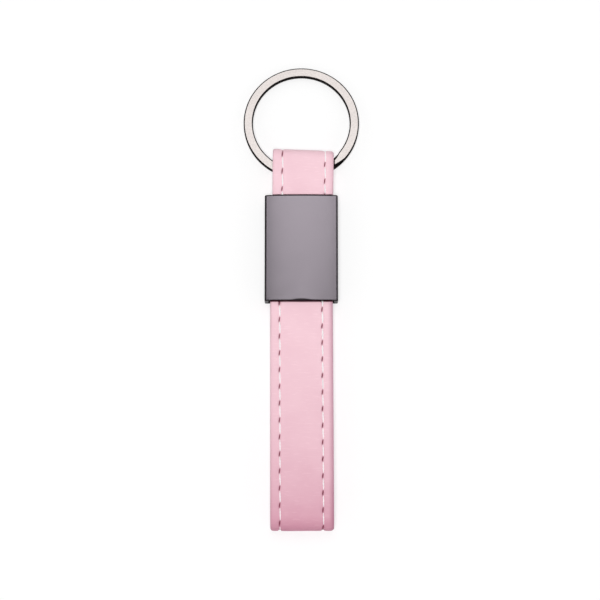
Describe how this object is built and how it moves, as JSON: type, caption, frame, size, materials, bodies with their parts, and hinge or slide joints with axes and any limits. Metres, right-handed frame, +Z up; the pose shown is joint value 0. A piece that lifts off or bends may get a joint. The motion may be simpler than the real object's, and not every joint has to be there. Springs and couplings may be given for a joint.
{
  "type": "leather strap keychain",
  "caption": "Sewn leather strap keychain: a long loop and a short loop gathered in a cambered metal sleeve, with a flat split ring held in the short loop.",
  "frame": {"origin": "middle of the sleeve's flat back face, on the surface that the keychain lies on", "axes": "+X across the strap, +Y along the strap towards the ring, +Z up, away from the back face"},
  "size_m": [0.03, 0.1203, 0.0064],
  "materials": {
    "sleeve_metal": "satin",
    "ring_steel": "satin",
    "face_leather": "satin",
    "lining_leather": "matte",
    "filler": "matte",
    "thread": "matte"
  },
  "bodies": {
    "sleeve": {"sleeve": "sleeve_metal", "front_run_face": "face_leather", "front_run_filler": "filler", "front_run_lining": "lining_leather", "upper_end_face": "face_leather", "upper_end_filler": "filler", "upper_end_lining": "lining_leather", "lower_end_face": "face_leather", "lower_end_filler": "filler", "lower_end_lining": "lining_leather"},
    "hanger_loop": {"hanger_face": "face_leather", "hanger_filler": "filler", "hanger_lining": "lining_leather", "hanger_needle_thread_left": "thread", "hanger_bobbin_thread_left": "thread", "hanger_needle_thread_right": "thread", "hanger_bobbin_thread_right": "thread"},
    "tail_loop": {"tail_face": "face_leather", "tail_filler": "filler", "tail_lining": "lining_leather", "tail_needle_thread_left": "thread", "tail_bobbin_thread_left": "thread", "tail_needle_thread_right": "thread", "tail_bobbin_thread_right": "thread"},
    "key_ring": {"split_ring": "ring_steel"}
  },
  "joints": [
    {"name": "hanger_flex", "type": "hinge", "parent": "sleeve", "child": "hanger_loop", "pos_m": [0, 0.01448, 0.00285], "axis": [1, 0, 0], "range_deg": [-40, 40], "stiffness_Nm_per_rad": 0.005},
    {"name": "tail_flex", "type": "hinge", "parent": "sleeve", "child": "tail_loop", "pos_m": [0, -0.01528, 0.00285], "axis": [-1, 0, 0], "range_deg": [-75, 75], "stiffness_Nm_per_rad": 0.006},
    {"name": "ring_turn", "type": "hinge", "parent": "hanger_loop", "child": "key_ring", "pos_m": [0, 0.03333, 0.00207], "axis": [0, 0.0831, 0.9965], "continuous": true}
  ]
}
